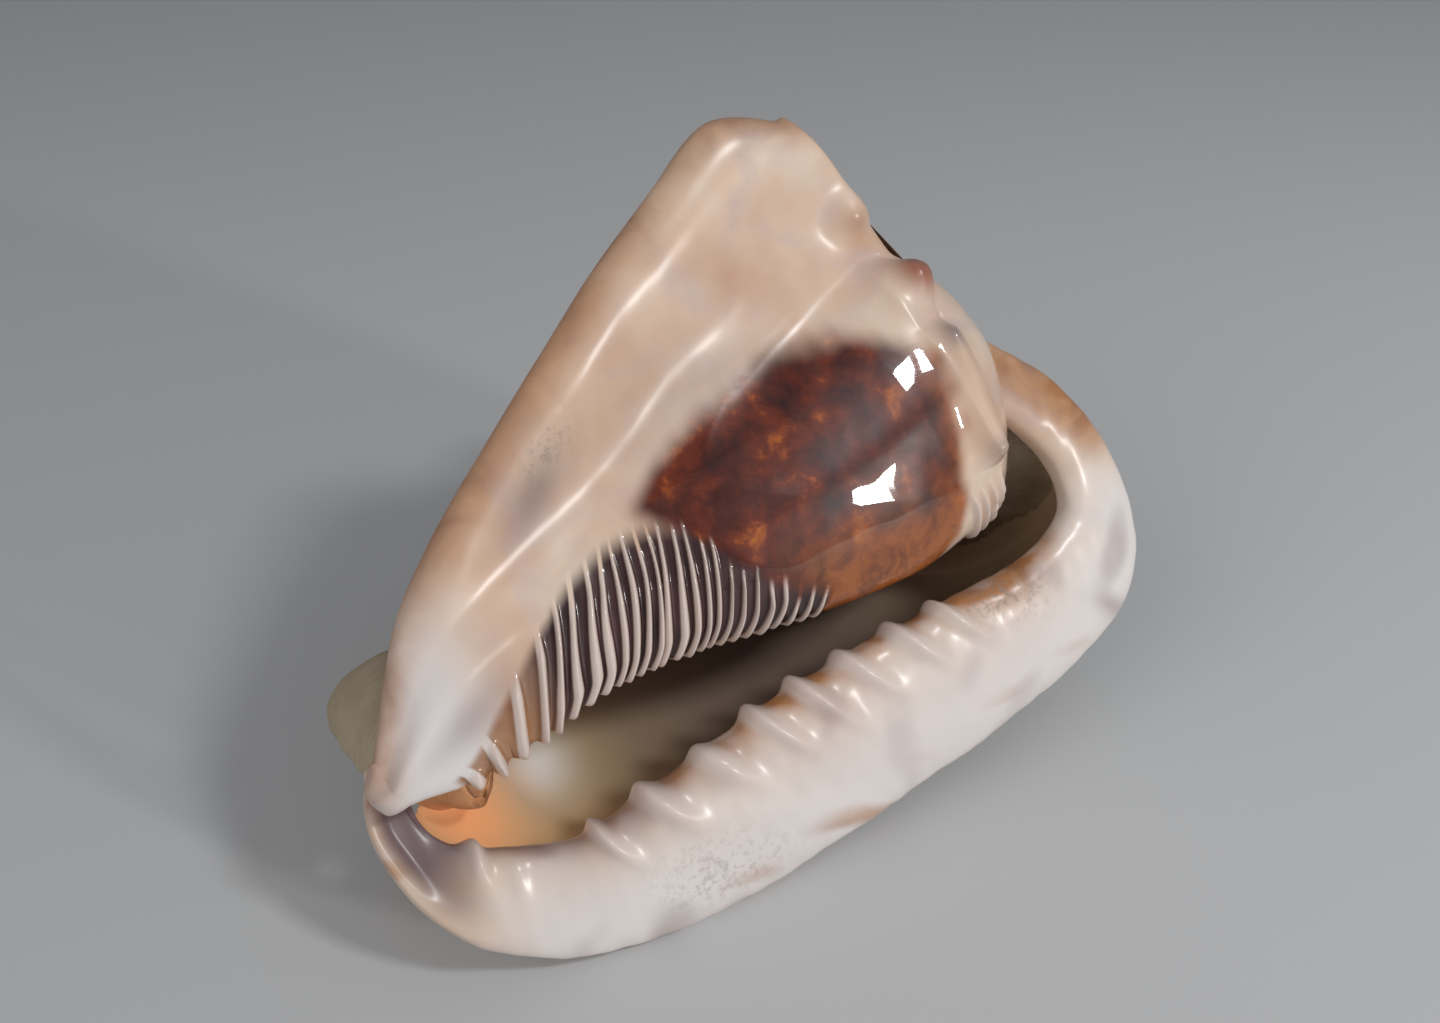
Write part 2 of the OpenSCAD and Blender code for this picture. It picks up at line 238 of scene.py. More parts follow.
def sheet_piece(name, front, back, front_normals, values):
    """Closed solid between a front and a back grid of points."""
    rows, cols = front.shape[:2]
    n = rows * cols
    index = np.arange(n).reshape(rows, cols)
    a, b, c, d = index[:-1, :-1], index[:-1, 1:], index[1:, 1:], index[1:, :-1]
    face = np.stack([a, b, c, d], -1).reshape(-1, 4)
    rim = np.concatenate([index[0, :-1], index[:-1, -1], index[-1, :0:-1], index[:0:-1, 0]])
    after = np.roll(rim, -1)
    side = np.stack([after, rim, rim + n, after + n], -1)
    quads = np.concatenate([face, face[:, ::-1] + n, side])
    verts = np.concatenate([front.reshape(-1, 3), back.reshape(-1, 3)])
    normals = np.concatenate([front_normals.reshape(-1, 3),
                              grid_normals(back).reshape(-1, 3)])
    both = {k: np.concatenate([np.ravel(v), np.ravel(v)]) for k, v in values.items()}
    both["inside"] = np.repeat([0.0, 1.0], n)
    return make_piece(name, verts, quads, np.zeros((0, 3), int), normals, both)


def tube_piece(name, rings, values, normals=None):
    """Closed solid through a list of closed rings."""
    rows, cols = rings.shape[:2]
    index = np.arange(rows * cols).reshape(rows, cols)
    after = np.roll(index, -1, 1)
    quads = np.stack([index[:-1], after[:-1], after[1:], index[1:]], -1).reshape(-1, 4)
    first, last = rows * cols, rows * cols + 1
    caps = np.concatenate([
        np.stack([after[0], index[0], np.full(cols, first)], -1),
        np.stack([index[-1], after[-1], np.full(cols, last)], -1)])
    verts = np.concatenate([rings.reshape(-1, 3), rings[0].mean(0)[None],
                            rings[-1].mean(0)[None]])
    if normals is None:
        normals = grid_normals(rings, True)
    ends = np.stack([rings[0].mean(0) - rings[1].mean(0), rings[-1].mean(0) - rings[-2].mean(0)])
    all_normals = np.concatenate([normals.reshape(-1, 3), unit(ends)])
    capped = {k: np.concatenate([np.ravel(v), [np.mean(v[0]), np.mean(v[-1])]])
              for k, v in values.items()}
    capped["inside"] = np.zeros(rows * cols + 2)
    return make_piece(name, verts, quads, caps, all_normals, capped)


def knob_relief(points, turns, row_u, base, height, rng):
    """Height of a row of blunt knobs over the wall."""
    relief = np.zeros(points.shape[:-1])
    for turn in turns:
        s = size_at(turn)
        top = whorl_point(np.array(turn), np.array(row_u))
        reach = np.linalg.norm(points - top, axis=-1) / (1.35 * base * s)
        swell = np.clip(1 - reach * reach, 0, 1) ** 2
        relief = np.maximum(relief, height * s * rng.uniform(0.9, 1.0) * swell)
    return relief


shares = np.linspace(0, 1, 520)
us = np.linspace(0, 1, 200)
E, W = np.meshgrid(shares, us, indexing="ij")
wall_base, wall_turn = flare_point(E, W)
wall_back, _ = flare_point(E, W, WALL)
wall_normals = grid_normals(wall_base)
outward = np.einsum("ijk,ijk->ij", wall_normals, wall_base - wall_back)
wall_normals *= np.sign(outward.mean())
row_turns = KNOB_START + KNOB_STEP * np.arange(3, 9)
rng = np.random.default_rng(3)
relief = knob_relief(wall_base, row_turns, 0.23, 13, KNOB_HEIGHT, rng)
relief += knob_relief(wall_base, row_turns, 0.5, 11, 0.35 * KNOB_HEIGHT, rng)
relief += knob_relief(wall_base, row_turns, 0.64, 10, 0.61 * KNOB_HEIGHT, rng)
varix_turn = KNOB_START + 4 * KNOB_STEP
varix_off = (wall_turn - varix_turn) / 16.0
varix = 8.0 * np.exp(-varix_off ** 2 * 1.6) * ease((W - 0.08) / 0.15) * ease((0.96 - W) / 0.15)
relief = np.maximum(relief, varix * (0.85 + 0.25 * np.cos(2 * np.pi * 7 * W)))
cords = 0.28 * np.cos(2 * np.pi * 15 * W) * ease(8 * W) * ease(8 - 8 * W)
steps = 0.22 * np.sin(wall_turn * 1.9 + 1.5 * np.sin(wall_turn * 0.31))
steps = steps + 0.3 * ripple(wall_base, 16, 5)
relief += (cords + steps) * (1 - ease((E - 0.9) / 0.1))
wall_front = wall_base + wall_normals * relief[..., None]
straw = ease((95 - wall_base[..., 0]) / 90) * ease((E - 0.7) / 0.15)
straw += 0.5 * ease((wall_base[..., 0] - 110) / 50) * ease((E - 0.8) / 0.1)
# glow and pearl mark where the lining gets its painted glow; pearl also paints a pale bluish spot.
glow = np.exp(-(np.linalg.norm(wall_base - np.array(GLOW_AT), axis=-1) / 15.0) ** 2)
pearl = 0.8 * np.exp(-(np.linalg.norm(wall_base - np.array(PEARL_AT), axis=-1) / 11.0) ** 2)
last_whorl = sheet_piece("body_whorl_wall", wall_front, wall_back, grid_normals(wall_front),
                         {"turn": wall_turn / TURN_UNIT, "girth": W, "height": relief, "straw": straw,
                          "glow": glow, "pearl": pearl})
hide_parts("body_whorl", "shoulder_knobs", "middle_knobs", "lower_knobs", "old_varix")


def add_node(tree, kind, label, **settings):
    node = tree.nodes.new("ShaderNode" + kind)
    node.label = label
    for key, value in settings.items():
        if key in node.inputs:
            node.inputs[key].default_value = value
        else:
            setattr(node, key, value)
    return node


def noise_of(tree, vector, label, scale, detail=3.0, roughness=0.55, distortion=0.0):
    noise = add_node(tree, "TexNoise", label, Scale=scale, Detail=detail, Roughness=roughness,
                     Distortion=distortion)
    tree.links.new(vector, noise.inputs["Vector"])
    return noise.outputs["Fac"]


def ramp_of(tree, factor, label, stops):
    ramp = add_node(tree, "ValToRGB", label)
    bar = ramp.color_ramp
    while len(bar.elements) < len(stops):
        bar.elements.new(0.5)
    for element, (place, color) in zip(bar.elements, stops):
        element.position = place
        element.color = (*color, 1.0)
    tree.links.new(factor, ramp.inputs["Fac"])
    return ramp.outputs["Color"]


def blend_of(tree, factor, first, second, label, mode="MIX"):
    """Mix of two colours by a factor; each may be a socket or a plain colour or number."""
    node = add_node(tree, "Mix", label, data_type="RGBA", blend_type=mode)
    sockets = node.inputs[0], node.inputs[6], node.inputs[7]
    for value, socket in zip((factor, first, second), sockets):
        if isinstance(value, bpy.types.NodeSocket):
            tree.links.new(value, socket)
        elif isinstance(value, tuple):
            socket.default_value = (*value, 1.0)
        else:
            socket.default_value = value
    return node.outputs[2]


def sum_of(tree, kind, first, second, label, clamp=False, third=None):
    """Math node; the third value is only for kinds that take three."""
    node = add_node(tree, "Math", label, operation=kind, use_clamp=clamp)
    for value, socket in zip((first, second, third), node.inputs):
        if value is None:
            continue
        if isinstance(value, bpy.types.NodeSocket):
            tree.links.new(value, socket)
        else:
            socket.default_value = value
    return node.outputs[0]


def value_at(tree, name):
    return add_node(tree, "Attribute", name, attribute_name=name).outputs["Fac"]


def weathered_shell():
    """Dull outer shell: grey-brown, darker on the knobs, with growth lines and a worn skin.
    The inside of the same wall is smooth, brown to straw-coloured, and near the canal it is
    orange and pearly, with a painted glow: emission that stands in for light through thin shell."""
    material = bpy.data.materials.new("weathered_shell")
    material.use_nodes = True
    tree = material.node_tree
    surface = tree.nodes["Principled BSDF"]
    place = add_node(tree, "TexCoord", "place").outputs["Object"]
    turn, girth = value_at(tree, "turn"), value_at(tree, "girth")
    inside, height = value_at(tree, "inside"), value_at(tree, "height")
    lines = add_node(tree, "CombineXYZ", "growth line place")
    tree.links.new(sum_of(tree, "MULTIPLY", turn, 26.0, "along the turn"), lines.inputs[0])
    tree.links.new(sum_of(tree, "MULTIPLY", girth, 3.0, "across the turn"), lines.inputs[1])
    growth = noise_of(tree, lines.outputs[0], "growth lines", 2.2, 4.0, 0.6)
    clouds = noise_of(tree, place, "worn clouds", 45.0, 4.0, 0.6)
    grain = noise_of(tree, place, "fine grain", 700.0, 2.0)
    skin = ramp_of(tree, clouds, "grey-brown skin",
                   [(0.3, (0.20, 0.13, 0.075)), (0.5, (0.45, 0.36, 0.24)), (0.72, (0.64, 0.56, 0.43))])
    skin = blend_of(tree, sum_of(tree, "MULTIPLY", growth, 0.75, "line share"), skin,
                    (0.20, 0.13, 0.075), "growth lines")
    between = sum_of(tree, "SUBTRACT", 1.15, growth, "between lines")
    new_growth = sum_of(tree, "MULTIPLY", value_at(tree, "fresh"), between, "new growth share", True)
    skin = blend_of(tree, new_growth, skin, (0.72, 0.60, 0.42), "pale new growth")
    skin = blend_of(tree, value_at(tree, "glazed"), skin, (0.90, 0.44, 0.21), "glazed canal mouth")
    knobs = sum_of(tree, "MULTIPLY", height, 0.09, "knob share", True)
    skin = blend_of(tree, knobs, skin, (0.15, 0.085, 0.05), "dark knobs")
    lining = ramp_of(tree, value_at(tree, "straw"), "lining",
                     [(0.0, (0.40, 0.29, 0.23)), (0.45, (0.52, 0.38, 0.26)), (1.0, (0.88, 0.64, 0.34))])
    clouded = ramp_of(tree, noise_of(tree, place, "lining clouds", 22.0, 3.0), "lining cloud share",
                      [(0.45, (0, 0, 0)), (0.70, (0.5, 0.5, 0.5))])
    lining = blend_of(tree, clouded, lining, (0.36, 0.25, 0.18), "lining clouds")
    lining = blend_of(tree, value_at(tree, "pearl"), lining, (0.80, 0.84, 0.86), "pearly lining")
    lining = blend_of(tree, value_at(tree, "glow"), lining, (0.95, 0.42, 0.18), "orange canal lining")
    # Painted glow: emission on the inside of the wall that stands in for light through thin shell.
    lit = sum_of(tree, "MAXIMUM", value_at(tree, "glow"), value_at(tree, "pearl"), "thin bright wall")
    lit = sum_of(tree, "MULTIPLY", lit, inside, "light through the wall")
    tree.links.new(blend_of(tree, lit, (0, 0, 0), lining, "light that comes through"),
                   surface.inputs["Emission Color"])
    surface.inputs["Emission Strength"].default_value = 0.34
    tree.links.new(blend_of(tree, inside, skin, lining, "lining inside"), surface.inputs["Base Color"])
    worn = sum_of(tree, "MULTIPLY_ADD", clouds, 0.3, "worn", third=0.45)
    polished = sum_of(tree, "MULTIPLY", inside, 0.35, "polished lining")
    rough = sum_of(tree, "SUBTRACT", worn, polished, "roughness", True)
    tree.links.new(rough, surface.inputs["Roughness"])
    relief = sum_of(tree, "ADD", growth, sum_of(tree, "MULTIPLY", grain, 0.25, "grain share"), "relief")
    outside = sum_of(tree, "SUBTRACT", 1.0, inside, "outside")
    relief = sum_of(tree, "MULTIPLY", relief, outside, "outer relief")
    bump = add_node(tree, "Bump", "growth relief", Strength=0.6, Distance=0.0008)
    tree.links.new(relief, bump.inputs["Height"])
    tree.links.new(bump.outputs["Normal"], surface.inputs["Normal"])
    return material


dull_shell = weathered_shell()
last_whorl.data.materials.append(dull_shell)

# --------------------------------------------------
# Spire: the tip of the shell and the small early turns, worn smooth and dull, then the turn
# before the last with its row of shoulder knobs. Each turn covers the lower part of the one
# before it.
TIP_RADIUS = 4.5

turns = np.linspace(LAST_TURN - 1250, LAST_TURN - 352, 420)
us = np.linspace(0, 0.42, 60)
T, W = np.meshgrid(turns, us, indexing="ij")
spire_base = whorl_point(T, W)
spire_normals = grid_normals(spire_base)
spire_back = whorl_point(T, W, 2.0)
spire_normals *= np.sign(np.einsum("ijk,ijk->ij", spire_normals, spire_base - spire_back).mean())
early_turns = KNOB_START + 18.0 * np.arange(-54, -20)
relief = 0.7 * knob_relief(spire_base, early_turns, 0.23, 7, 7, rng)
relief += 0.12 * ripple(spire_base, 5, 11)
spire_front = spire_base + spire_normals * relief[..., None]
spire = sheet_piece("early_spire", spire_front, spire_back, grid_normals(spire_front),
                    {"turn": T / TURN_UNIT, "girth": W, "height": relief})
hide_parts("first_spire_whorl", "second_spire_whorl")
spire.data.materials.append(dull_shell)

turns = np.linspace(LAST_TURN - 360, LAST_TURN + 2, 360)
us = np.linspace(0, 1, 170)
T, W = np.meshgrid(turns, us, indexing="ij")
before_base = whorl_point(T, W)
before_back = whorl_point(T, W, 3.6)
before_normals = grid_normals(before_base)
before_normals *= np.sign(np.einsum("ijk,ijk->ij", before_normals, before_base - before_back).mean())
relief = knob_relief(before_base, KNOB_START + KNOB_STEP * np.arange(-13, -2), 0.23, 10,
                     0.6 * KNOB_HEIGHT, rng)
relief += 0.2 * ripple(before_base, 9, 12) + 0.12 * np.sin(T * 1.9)
before_front = before_base + before_normals * relief[..., None]
before_last = sheet_piece("penultimate_whorl_wall", before_front, before_back,
                          grid_normals(before_front),
                          {"turn": T / TURN_UNIT, "girth": W, "height": relief})
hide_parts("penultimate_whorl", "spire_knobs")
before_last.data.materials.append(dull_shell)

rise = np.linspace(-0.5 * np.pi, 0.5 * np.pi, 40)[1:-1]
swing = np.linspace(0, 2 * np.pi, 65)[:-1]
R, S = np.meshgrid(rise, swing, indexing="ij")
nucleus = TIP_RADIUS * (1 + 0.05 * np.cos(2 * R * 3 + S))
skirt = nucleus * np.cos(R) * mix(2.4, 1.0, ease((R + 0.6) / 1.5))
tip_rings = np.stack([APEX_BALL[0] + nucleus * np.sin(R), skirt * np.sin(S),
                      APEX_BALL[2] + skirt * np.cos(S)], -1)
tip = tube_piece("shell_tip", tip_rings, {"turn": S, "girth": R, "height": 0 * R})
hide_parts("protoconch")
tip.data.materials.append(dull_shell)

# --------------------------------------------------
# Columella: the smooth pale pillar that every turn winds round, seen deep in the aperture.
COLUMELLA_RADIUS = [9, 11, 10, 8, 6.5, 5, 4, 3, 1.5]

shares = np.linspace(0, 1, 160)
swing = np.linspace(0, 360, 73)[:-1]
T, S = np.meshgrid(shares, swing, indexing="ij")
girth = curve(COLUMELLA_RADIUS, T) * (1 + 0.04 * np.cos(np.radians(2 * S + 300 * T)))
angle = np.radians(S - 120 * T)
pillar_rings = np.stack([mix(8, 172, T), -4 * (1 - T) + girth * np.sin(angle),
                         girth * np.cos(angle) - AXIS_DEPTH * ease(3 * T) + 2 * (1 - T)], -1)
# The pillar's deep share is painted shade, darker further back in the aperture; its pale share makes its
# front end paler.
pillar = tube_piece("columella_pillar", pillar_rings,
                    {"deep": 0.8 * ease((T - 0.12) / 0.3), "pale": 0.4 * (1 - T)})
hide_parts("columella")


GLAZE_SHARES = ("Brown", "Dark", "Rib", "Tan", "Worn", "Red", "Pale", "Deep", "Mauve", "Amber",
                "Inside")


def glaze_colours():
    """Node group of the polished glaze: mixes its colours from the shares stored on the mesh."""
    group = bpy.data.node_groups.new("glaze_colours", "ShaderNodeTree")
    for name in GLAZE_SHARES:
        group.interface.new_socket(name=name, in_out="INPUT", socket_type="NodeSocketFloat")
    for name, kind in (("Color", "Color"), ("Roughness", "Float"), ("Height", "Float")):
        group.interface.new_socket(name=name, in_out="OUTPUT", socket_type="NodeSocket" + kind)
    share = group.nodes.new("NodeGroupInput")
    result = group.nodes.new("NodeGroupOutput")
    place = add_node(group, "TexCoord", "place").outputs["Object"]
    broad = noise_of(group, place, "broad clouds", 26.0, 3.0, 0.5)
    soft = noise_of(group, place, "soft clouds", 55.0, 3.0, 0.55, 0.6)
    fleck = noise_of(group, place, "flecks", 190.0, 5.0, 0.62, 0.8)
    fine = noise_of(group, place, "fine specks", 900.0, 2.0, 0.5)
    color = ramp_of(group, broad, "cream to peach",
                    [(0.33, (0.84, 0.69, 0.56)), (0.52, (0.76, 0.54, 0.40)), (0.68, (0.64, 0.39, 0.26))])
    lilac = ramp_of(group, soft, "lilac share", [(0.50, (0, 0, 0)), (0.70, (0.45, 0.45, 0.45))])
    color = blend_of(group, lilac, color, (0.58, 0.46, 0.47), "lilac clouds")
    color = blend_of(group, share.outputs["Pale"], color, (0.86, 0.81, 0.79), "pale front")
    tan_color = ramp_of(group, soft, "tan", [(0.3, (0.56, 0.25, 0.09)), (0.7, (0.36, 0.16, 0.075))])
    patchy = sum_of(group, "MULTIPLY_ADD", soft, 1.3, "patchy", third=0.25)
    uneven = sum_of(group, "MULTIPLY", share.outputs["Tan"], patchy, "tan share", True)
    color = blend_of(group, uneven, color, tan_color, "tan edge")
    # Mauve: the lip's own lilac blotches and marks on the shield, and painted shade in the lip's front
    # hollow and along its inner edge.
    color = blend_of(group, share.outputs["Mauve"], color, (0.27, 0.19, 0.19), "mauve shade")
    speck = noise_of(group, place, "dirt specks", 520.0, 4.0, 0.7)
    dirt = ramp_of(group, speck, "dirt share", [(0.50, (0, 0, 0)), (0.60, (0.75, 0.75, 0.75))])
    dirt = sum_of(group, "MULTIPLY", dirt, share.outputs["Worn"], "worn share")
    color = blend_of(group, dirt, color, (0.30, 0.23, 0.19), "worn spots")
    color = blend_of(group, share.outputs["Red"], color, (0.30, 0.075, 0.04), "red knob tips")
    mottle = noise_of(group, place, "mottles", 95.0, 4.0, 0.6, 0.2)
    rich = ramp_of(group, mottle, "red-brown glaze",
                   [(0.30, (0.028, 0.004, 0.003)), (0.47, (0.09, 0.012, 0.004)),
                    (0.60, (0.17, 0.025, 0.006)), (0.70, (0.42, 0.095, 0.008)), (0.80, (0.65, 0.24, 0.02))])
    amber = ramp_of(group, fleck, "amber spread", [(0.34, (0.35, 0.35, 0.35)), (0.58, (0.95, 0.95, 0.95))])
    amber = sum_of(group, "MULTIPLY", share.outputs["Amber"], amber, "amber share")
    rich = blend_of(group, amber, rich, (0.38, 0.105, 0.018), "amber lower edge")
    color = blend_of(group, share.outputs["Brown"], color, rich, "brown patch")
    groove = ramp_of(group, soft, "groove", [(0.35, (0.022, 0.006, 0.006)), (0.65, (0.075, 0.026, 0.026))])
    # Dark: the dark colour between the folds, and painted shade in the lip's front hollow.
    color = blend_of(group, share.outputs["Dark"], color, groove, "dark grooves")
    color = blend_of(group, share.outputs["Rib"], color, (0.78, 0.64, 0.57), "white ribs")
    color = blend_of(group, share.outputs["Inside"], color, (0.58, 0.41, 0.30), "plain underside")
    # Painted shade: the deep share darkens the glaze deep in the aperture.
    color = blend_of(group, share.outputs["Deep"], color, (0.10, 0.06, 0.045), "deep in the aperture")
    group.links.new(color, result.inputs["Color"])
    gloss = ramp_of(group, soft, "gloss", [(0.3, (0.30, 0.30, 0.30)), (0.7, (0.42, 0.42, 0.42))])
    gloss = blend_of(group, dirt, gloss, (0.55, 0.55, 0.55), "worn gloss")
    group.links.new(gloss, result.inputs["Roughness"])
    waves = sum_of(group, "MULTIPLY_ADD", fine, 0.12, "fine grain", third=soft)
    group.links.new(waves, result.inputs["Height"])
    return group


glaze_group = glaze_colours()


def glaze_material(name, coat_weight, coat_roughness):
    """Hard polished glaze under a clear wet-looking skin."""
    material = bpy.data.materials.new(name)
    material.use_nodes = True
    tree = material.node_tree
    surface = tree.nodes["Principled BSDF"]
    surface.inputs["IOR"].default_value = 1.55
    surface.inputs["Coat Weight"].default_value = coat_weight
    surface.inputs["Coat Roughness"].default_value = coat_roughness
    surface.inputs["Specular IOR Level"].default_value = 0.3
    colours = tree.nodes.new("ShaderNodeGroup")
    colours.node_tree = glaze_group
    for key in GLAZE_SHARES:
        tree.links.new(value_at(tree, key.lower()), colours.inputs[key])
    tree.links.new(colours.outputs["Color"], surface.inputs["Base Color"])
    tree.links.new(colours.outputs["Roughness"], surface.inputs["Roughness"])
    bump = add_node(tree, "Bump", "slight waves", Strength=0.12, Distance=0.0006)
    tree.links.new(colours.outputs["Height"], bump.inputs["Height"])
    tree.links.new(bump.outputs["Normal"], surface.inputs["Normal"])
    return material


cream_glaze = glaze_material("cream_glaze", 0.28, 0.2)
pillar.data.materials.append(cream_glaze)

# --------------------------------------------------
# Siphonal canal and its fasciole: the open tube at the front end, bent up to the back, and the
# scaly band that its earlier ends left round the base. Both are dull shell with growth lines.
CANAL_PATH = [[22, -15, 6], [9, -11, -3], [4, -3, -14], [6, 5, -26]]
CANAL_RADIUS = [11, 13, 15, 17]
BAND_AT = 0.93
BAND_MIDDLE = 146
BAND_HALF = 107


def canal_point(t, share, inset):
    middle = curve(CANAL_PATH, t)
    ahead = unit(curve(CANAL_PATH, t + 0.05) - curve(CANAL_PATH, t - 0.05))
    front = unit(np.array([-1.0, 0, 0]) + ahead * ahead[..., :1])
    side = np.cross(ahead, front)
    radius = (curve(CANAL_RADIUS, t) - inset)[..., None]
    angle = np.radians(mix(-130, 130, share))[..., None]
    return middle + radius * (front * np.cos(angle) + side * np.sin(angle))


T, S = np.meshgrid(np.linspace(0.26, 1, 110), np.linspace(0, 1, 120), indexing="ij")
lines = 0.35 * np.sin(46 * T + 2 * np.sin(5 * S)) + 0.25 * ripple(canal_point(T, S, 0), 7, 21)
canal_front = canal_point(T, S, -lines)
canal_back = canal_point(T, S, WALL - 1.5 * ease((T - 0.8) / 0.2))
# The canal's glow share is a painted glow (emission) on its lining that fades out along the tube.
canal = sheet_piece("siphonal_canal_tube", canal_front, canal_back, grid_normals(canal_front),
                    {"turn": 7 * T, "girth": S, "height": lines, "straw": 1 - T,
                     "glow": 0.8 * ease(1.6 - 2 * T), "fresh": 0.8 + 0 * T,
                     "glazed": ease((0.62 - T) / 0.2)})
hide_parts("siphonal_canal")
canal.data.materials.append(dull_shell)

T, S = np.meshgrid(np.linspace(40, 252, 260), np.linspace(0, 360, 49)[:-1], indexing="ij")
band = BAND_AT + 0 * T
spine = whorl_point(T, band)
spine_out = unit(spine - whorl_point(T, band, 1.0))
spine_ahead = unit(whorl_point(T + 2, band) - whorl_point(T - 2, band))
spine_side = np.cross(spine_ahead, spine_out)
full = np.sqrt(np.maximum(0.01, 1 - ((T - BAND_MIDDLE) / BAND_HALF) ** 2))
scale = 1 + 0.05 * np.abs(np.sin(np.radians(T * 9)))
fasciole_rings = (spine + spine_side * (8 * full * np.cos(np.radians(S)))[..., None]
                  + spine_out * (6 * full * scale * np.sin(np.radians(S)))[..., None])
fasciole = tube_piece("fasciole_band", fasciole_rings,
                      {"turn": T / 20, "girth": S / 360, "height": full, "fresh": 0.5 + 0 * T})
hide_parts("siphonal_fasciole")
fasciole.data.materials.append(dull_shell)

# --------------------------------------------------
# Parietal shield: a broad plate of smooth glaze that spreads from the aperture over the last
# turn and stands free as a thick rolled rim. It is grown shell, cream to peach, polished by the
# animal's mantle, tan along its outer edge.
SHIELD_LEFT = [[-12, 4, 20], [8, 28, 23], [25, 40.5, 25], [47, 53, 28], [70, 64.5, 31],
               [91, 75, 33.5], [112, 83.5, 36], [132, 90.5, 38], [149, 83, 38]]
SHIELD_RIGHT = [[-9, -6, 18], [7, -11, 20], [22, -11.5, 22], [40, -10.5, 24], [60, -14, 26],
                [80, -20, 29], [104, -28.5, 31.5], [127, -34, 33], [151, -35, 31]]
SHIELD_CREST = [21, 25, 27, 29, 32, 37.5, 42.5, 46, 46]
SHIELD_VALLEY = [19, 22, 23, 23.5, 25.5, 28, 31, 32.5, 31]
CREST_SHARE = [0.5, 0.5, 0.55, 0.65, 0.76, 0.76, 0.74, 0.72, 0.68]
WALL_DEPTH = 22.0
RIM_HALF = 12.0
RIM_THICK = 6.0
PLATE = 6.0
GLAZE = 4.0
BORDER = 0.56
OVER_SHARE = 0.3
BACK_REACH = 3.4
BACK_TURN = np.radians(95)
FRONT_TURN = np.radians(90)
END_TURN = np.radians(87)


def face_level(t, v):
    left, right = curve(SHIELD_LEFT, t)[..., 2], curve(SHIELD_RIGHT, t)[..., 2]
    crest, valley, top = curve(SHIELD_CREST, t), curve(SHIELD_VALLEY, t), curve(CREST_SHARE, t)
    dip = 0.52 * top
    far = right + (crest - right) * np.sqrt(
        np.maximum(0, 1 - np.clip((v - top) / (1 - top), 0, 1) ** 2))
    slope = mix(valley, crest, ease((v - dip) / (top - dip)))
    return np.where(v > top, far, np.where(v > dip, slope, mix(left, valley, ease(v / dip))))


def whorl_top(a, b):
    """Height of the body whorl under a place of the polished face."""
    outline = np.asarray(WHORL_OUTLINE, float)
    c = 30.0 + 0 * a
    for _ in range(5):
        s = size_at(np.degrees(np.arctan2(b, c + AXIS_DEPTH)))
        r = s * np.interp((APEX_AT - a) / s, outline[:, 1], outline[:, 0])
        c = np.sqrt(np.maximum(1.0, r * r - b * b)) - AXIS_DEPTH
    return c


def face_place(t, v):
    """Point of the polished face: v 0 is the free edge, 1 the aperture edge, more goes in."""
    w = np.clip(v, 0, 1)
    t = t + 0.022 * (1 - ease(t / 0.1)) * (1 - ease(w / 0.6))
    place = mix(curve(SHIELD_LEFT, t), curve(SHIELD_RIGHT, t), w[..., None])
    over = np.clip((v - 1) / OVER_SHARE, 0, 1)
    place[..., 0] += 15 * ease(3 * t - 2) * np.sin(np.pi * w)
    level = face_level(t, w)
    wall_top = mix(-20.0, whorl_top(place[..., 0], place[..., 1]) + 2.5, ease(4 * t - 1))
    wall_top = mix(-20.0, wall_top, ease((w - 0.2) / 0.12) * ease((1.05 - w) / 0.2))
    gap = np.clip(0.5 + 0.5 * (wall_top - level) / 5.0, 0, 1)
    level = mix(level, wall_top, gap) + 5.0 * gap * (1 - gap) * 0.5
    place[..., 1] += 5 * over
    place[..., 2] = level - WALL_DEPTH * over * mix(0.15, 1.0, ease(t / 0.13))
    return place


MAIN_ROWS = 720
END_ROWS = 22
front_bend = np.linspace(1, 0, END_ROWS)[:-1]
back_bend = np.linspace(0, 1, END_ROWS)[1:]
main_t = np.interp(np.linspace(0, 1, MAIN_ROWS), [0, 0.07, 0.83, 1], [0, 0.1, 0.72, 1])
row_t = np.concatenate([0 * front_bend, main_t, 1 + 0 * back_bend])
row_front = np.concatenate([front_bend, np.zeros(MAIN_ROWS + END_ROWS - 1)])
row_back = np.concatenate([np.zeros(MAIN_ROWS + END_ROWS - 1), back_bend])

roll = np.radians(np.linspace(-90, 90, 45))[:-1]
plate_cols = np.linspace(0, 1, 64)
glaze_cols = np.linspace(0, 1, 112)[1:]
over_cols = np.linspace(0, 1, 28)[1:]


def rim_growth(t):
    """Share of its full size that the rolled rim has; it starts thin at the tongue."""
    return mix(0.5, 1.0, ease(5 * t))


def shield_width(t):
    return np.linalg.norm(curve(SHIELD_LEFT, t) - curve(SHIELD_RIGHT, t), axis=-1)


def on_whorl(v):
    """Share of the face that lies on the whorl and not on the free plate."""
    return ease((v - 0.36) / 0.14)


def by_aperture(v):
    return ease((v - 0.32) / 0.2)


def front_reach(v):
    """How far the front end bends forward."""
    return mix(1.2, 4.6, ease(v / 0.3))


def plate_depth(t, d):
    """Thickness of the shield at a distance from its free edge."""
    full = rim_growth(t)
    return mix(1.4 * RIM_THICK * full, PLATE, ease((d - RIM_HALF * full) / 14))


